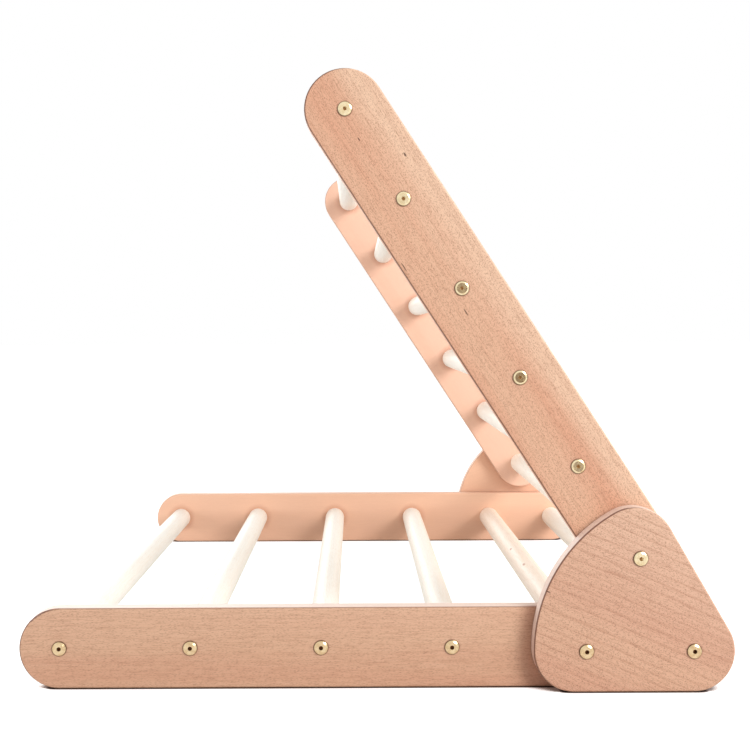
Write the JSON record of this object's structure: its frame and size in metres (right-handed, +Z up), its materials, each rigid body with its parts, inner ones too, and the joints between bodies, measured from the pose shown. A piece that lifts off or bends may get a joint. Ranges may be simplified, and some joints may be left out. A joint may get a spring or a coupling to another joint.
{
  "type": "folding climbing triangle",
  "caption": "Beech climbing triangle for toddlers: a ladder frame that lies on the floor and a second one hinged to it between two rounded side plates, with round rungs and brass bolts.",
  "frame": {"origin": "on the floor, in the middle of the part's length and width", "axes": "+Z up, +X towards the side plates and the hinge, +Y towards the left side, along the rungs"},
  "size_m": [0.738, 0.8368, 0.6405],
  "materials": {
    "beech": "oiled beech, fine sanded",
    "rung_wood": "pale turned wood, oiled",
    "brass": "satin brass plate",
    "insert_brass": "plain turned brass",
    "nylon": "natural nylon"
  },
  "bodies": {
    "base_frame": {"base_rail_left": "beech", "base_rail_right": "beech", "side_plate_left": "beech", "side_plate_right": "beech", "base_rung_1": "rung_wood", "base_rung_2": "rung_wood", "base_rung_3": "rung_wood", "base_rung_4": "rung_wood", "base_rung_5": "rung_wood", "base_rung_6": "rung_wood", "base_bolt_left_1": "brass", "base_bolt_left_2": "brass", "base_bolt_left_3": "brass", "base_bolt_left_4": "brass", "plate_bolt_left_5": "brass", "plate_bolt_left_6": "brass", "base_bolt_right_1": "brass", "base_bolt_right_2": "brass", "base_bolt_right_3": "brass", "base_bolt_right_4": "brass", "plate_bolt_right_5": "brass", "plate_bolt_right_6": "brass", "base_inserts_left": "insert_brass", "base_inserts_right": "insert_brass", "pivot_bush_left": "nylon", "pivot_bush_right": "nylon"},
    "climbing_frame": {"climbing_rail_left": "beech", "climbing_rail_right": "beech", "climbing_rung_1": "rung_wood", "climbing_rung_2": "rung_wood", "climbing_rung_3": "rung_wood", "climbing_rung_4": "rung_wood", "climbing_rung_5": "rung_wood", "climbing_rung_6": "rung_wood", "pivot_bolt_left": "brass", "climbing_bolt_left_2": "brass", "climbing_bolt_left_3": "brass", "climbing_bolt_left_4": "brass", "climbing_bolt_left_5": "brass", "climbing_bolt_left_6": "brass", "pivot_bolt_right": "brass", "climbing_bolt_right_2": "brass", "climbing_bolt_right_3": "brass", "climbing_bolt_right_4": "brass", "climbing_bolt_right_5": "brass", "climbing_bolt_right_6": "brass", "climbing_inserts_left": "insert_brass", "climbing_inserts_right": "insert_brass"}
  },
  "joints": [
    {"name": "fold", "type": "hinge", "parent": "base_frame", "child": "climbing_frame", "pos_m": [0.272, 0, 0.13726], "axis": [0, 1, 0], "range_deg": [-58.1, 132.9]}
  ]
}
